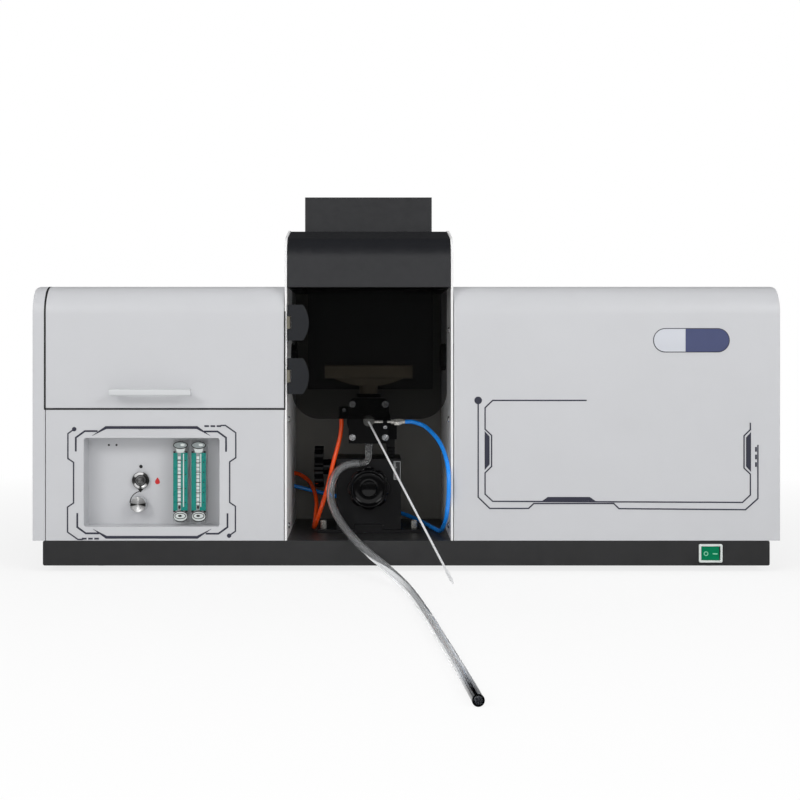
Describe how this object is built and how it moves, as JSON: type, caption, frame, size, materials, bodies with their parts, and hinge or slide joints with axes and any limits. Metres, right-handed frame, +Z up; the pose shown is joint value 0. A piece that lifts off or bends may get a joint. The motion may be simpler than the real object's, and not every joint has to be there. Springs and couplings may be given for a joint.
{
  "type": "atomic absorption spectrometer",
  "caption": "Bench flame atomic absorption spectrometer: lamp housing with gas controls, burner bay with smoked door and chimney, and a closed optics housing on a dark base.",
  "frame": {"origin": "on the bench, under the middle of the housings' footprint", "axes": "+X to the right seen from the front, +Y to the back, +Z up"},
  "size_m": [1.02, 1.2563, 0.537],
  "materials": {
    "shell_paint": "satin light grey powder coat",
    "dark_paint": "satin charcoal powder coat",
    "black_metal": "black anodised",
    "black_plastic": "moulded, fine grain",
    "white_plastic": "gloss moulded",
    "rubber": "matte",
    "zinc_sheet": "zinc plated sheet",
    "steel": "machined",
    "chrome": "bright plated",
    "aluminium": "brushed",
    "burner_metal": "fine turned, heat tinted",
    "clear_acrylic": "polished clear acrylic",
    "smoked_acrylic": "polished smoked acrylic",
    "lamp_glass": "clear bulb glass",
    "green_switch": "translucent, lit from inside",
    "orange_hose": "smooth",
    "blue_hose": "smooth polyurethane",
    "clear_hose": "milky clear vinyl"
  },
  "bodies": {
    "root": {"base_tray": "dark_paint", "base_plate": "dark_paint", "rubber_feet": "rubber", "left_end_panel": "shell_paint", "left_front_panel": "shell_paint", "left_chassis": "zinc_sheet", "left_rear_cover": "shell_paint", "control_recess": "shell_paint", "right_cover": "shell_paint", "right_rear_panel": "shell_paint", "bay_side_left": "shell_paint", "bay_side_right": "shell_paint", "bay_back_wall": "dark_paint", "heat_shield": "dark_paint", "hood": "dark_paint", "chimney": "dark_paint", "tower_rear_panel": "shell_paint", "flame_door_brackets": "steel", "hinge_pins": "chrome", "switch_bezel": "white_plastic", "button_bezel": "steel", "valve_body": "steel", "flowmeter_bodies": "clear_acrylic", "fastening_screws": "chrome", "stand_rail": "black_metal", "lamp_bracket": "aluminium", "lens_tubes": "black_metal", "monochromator_case": "aluminium", "detector_housing": "black_metal", "power_supply": "aluminium", "fan_frame": "black_plastic", "mains_inlet": "black_plastic", "gas_ports": "steel"},
    "lamp_door": {"lamp_door": "shell_paint", "door_handle": "aluminium"},
    "flame_door": {"flame_door": "smoked_acrylic", "flame_door_hinges": "black_plastic"},
    "ignition_button": {"ignition_button": "steel"},
    "fuel_valve_knob": {"fuel_valve_knob": "aluminium"},
    "float_left": {"float_left": "black_plastic"},
    "float_right": {"float_right": "black_plastic"},
    "power_rocker": {"power_rocker": "green_switch"},
    "stand": {"stand_block": "black_metal", "fuel_hose": "orange_hose", "oxidant_hose": "blue_hose", "drain_hose": "clear_hose"},
    "front_knob": {"front_knob": "black_plastic"},
    "side_knob": {"side_knob": "black_plastic"},
    "burner": {"lift_rack": "black_metal", "spray_chamber": "black_plastic", "chamber_front_plate": "black_plastic", "chamber_screws": "chrome", "nebulizer": "steel", "sample_capillary": "chrome", "gas_fittings": "steel", "drain_spout": "clear_hose"},
    "burner_head": {"burner_head": "burner_metal"},
    "lamp_turret": {"turret_wheel": "aluminium", "hollow_cathode_lamps": "lamp_glass"},
    "fan_rotor": {"fan_rotor": "black_plastic"}
  },
  "joints": [
    {"name": "lamp_door_hinge", "type": "hinge", "parent": "root", "child": "lamp_door", "pos_m": [0, 0.106, 0.384], "axis": [-1, 0, 0], "range_deg": [0, 80]},
    {"name": "flame_door_hinge", "type": "hinge", "parent": "root", "child": "flame_door", "pos_m": [-0.1598, -0.2465, 0.3], "axis": [0, 0, -1], "range_deg": [0, 95]},
    {"name": "ignition_button_press", "type": "slide", "parent": "root", "child": "ignition_button", "axis": [0, 1, 0], "range_m": [0, 0.0025], "stiffness_N_per_m": 300},
    {"name": "fuel_valve_turn", "type": "hinge", "parent": "root", "child": "fuel_valve_knob", "pos_m": [-0.3685, -0.22, 0.0895], "axis": [0, 1, 0], "range_deg": [0, 540]},
    {"name": "float_left_rise", "type": "slide", "parent": "root", "child": "float_left", "axis": [0, 0, 1], "range_m": [0, 0.07]},
    {"name": "float_right_rise", "type": "slide", "parent": "root", "child": "float_right", "axis": [0, 0, 1], "range_m": [0, 0.07]},
    {"name": "power_rocker_tilt", "type": "hinge", "parent": "root", "child": "power_rocker", "pos_m": [0.415, -0.241, 0.025], "axis": [0, 0, 1], "range_deg": [0, 14]},
    {"name": "stand_slide", "type": "slide", "parent": "root", "child": "stand", "axis": [0, 1, 0], "range_m": [-0.004, 0.004]},
    {"name": "front_knob_turn", "type": "hinge", "parent": "stand", "child": "front_knob", "pos_m": [-0.051, -0.19, 0.108], "axis": [0, 1, 0], "range_deg": [-720.1, 720.1]},
    {"name": "side_knob_turn", "type": "hinge", "parent": "stand", "child": "side_knob", "pos_m": [-0.12, -0.123, 0.133], "axis": [1, 0, 0], "range_deg": [-50.95, 76.42]},
    {"name": "burner_lift", "type": "slide", "parent": "stand", "child": "burner", "axis": [0, 0, 1], "range_m": [-0.008, 0.012], "deforming": ["fuel_hose", "oxidant_hose", "drain_hose"]},
    {"name": "burner_head_turn", "type": "hinge", "parent": "burner", "child": "burner_head", "pos_m": [-0.051, -0.115, 0.24], "axis": [0, 0, 1], "range_deg": [0, 90]},
    {"name": "lamp_turret_turn", "type": "hinge", "parent": "root", "child": "lamp_turret", "pos_m": [-0.414, -0.069, 0.292], "axis": [1, 0, 0], "continuous": true},
    {"name": "fan_spin", "type": "hinge", "parent": "root", "child": "fan_rotor", "pos_m": [0.4, 0.23, 0.24], "axis": [0, 1, 0], "continuous": true}
  ],
  "couplings": [
    {"joint": "front_knob_turn", "follows": "stand_slide", "rad_per_m": 3141.6},
    {"joint": "side_knob_turn", "follows": "burner_lift", "rad_per_m": 111.11}
  ]
}
